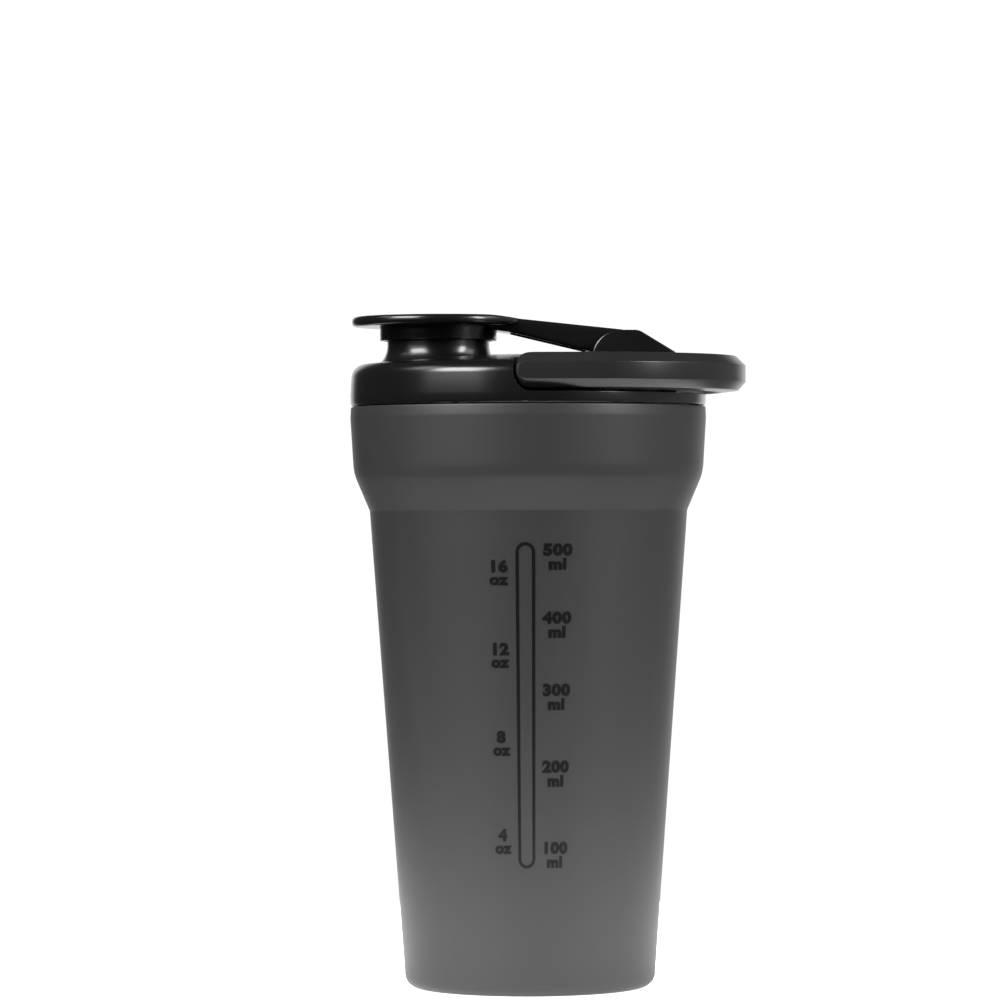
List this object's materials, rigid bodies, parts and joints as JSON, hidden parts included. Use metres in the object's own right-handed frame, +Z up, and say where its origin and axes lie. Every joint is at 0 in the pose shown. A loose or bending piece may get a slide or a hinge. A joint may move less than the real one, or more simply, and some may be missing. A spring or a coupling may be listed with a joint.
{
  "type": "protein shaker bottle",
  "caption": "Tapered smoked shaker cup with a black screw lid, a flip cap over a round spout, a swing-up carry loop and a clip-in mixing grid.",
  "frame": {"origin": "on the cup's axis, in the plane of the base that it stands on", "axes": "+Z up along the cup's axis, +X towards the carry loop's bow and -X towards the spout, +Y to the left when looking from the spout towards the bow"},
  "size_m": [0.1131, 0.1018, 0.1914],
  "materials": {
    "smoked_plastic": "smoked translucent polypropylene, satin",
    "black_plastic": "black polypropylene, semi-gloss",
    "grid_plastic": "black polypropylene, fine matt",
    "silicone": "grey silicone",
    "steel": "ground stainless steel"
  },
  "bodies": {
    "cup": {"cup": "smoked_plastic"},
    "gasket": {"lid_gasket": "silicone"},
    "lid": {"lid_shell": "black_plastic", "cap_hinge_pin": "steel", "loop_pin_front": "steel", "loop_pin_rear": "steel"},
    "cap": {"flip_cap": "black_plastic", "spout_seal": "silicone"},
    "loop": {"carry_loop": "black_plastic"},
    "grid": {"mixing_grid": "grid_plastic"}
  },
  "joints": [
    {"name": "lid_lift", "type": "slide", "parent": "cup", "child": "gasket", "axis": [0, 0, 1], "range_m": [0, 0.0275]},
    {"name": "lid_turn", "type": "hinge", "parent": "gasket", "child": "lid", "pos_m": [0, 0, 0.1659], "axis": [0, 0, 1], "range_deg": [0, 540]},
    {"name": "cap_flip", "type": "hinge", "parent": "lid", "child": "cap", "pos_m": [0.026, 0, 0.1838], "axis": [0, 1, 0], "range_deg": [0, 140]},
    {"name": "loop_swing", "type": "hinge", "parent": "lid", "child": "loop", "pos_m": [0.0016, 0, 0.1746], "axis": [0, -1, 0], "range_deg": [0, 100]},
    {"name": "grid_unclip", "type": "slide", "parent": "lid", "child": "grid", "axis": [0, 0, -1], "range_m": [0, 0.0075]}
  ],
  "couplings": [
    {"joint": "lid_lift", "follows": "lid_turn", "m_per_rad": 0.0028648}
  ]
}
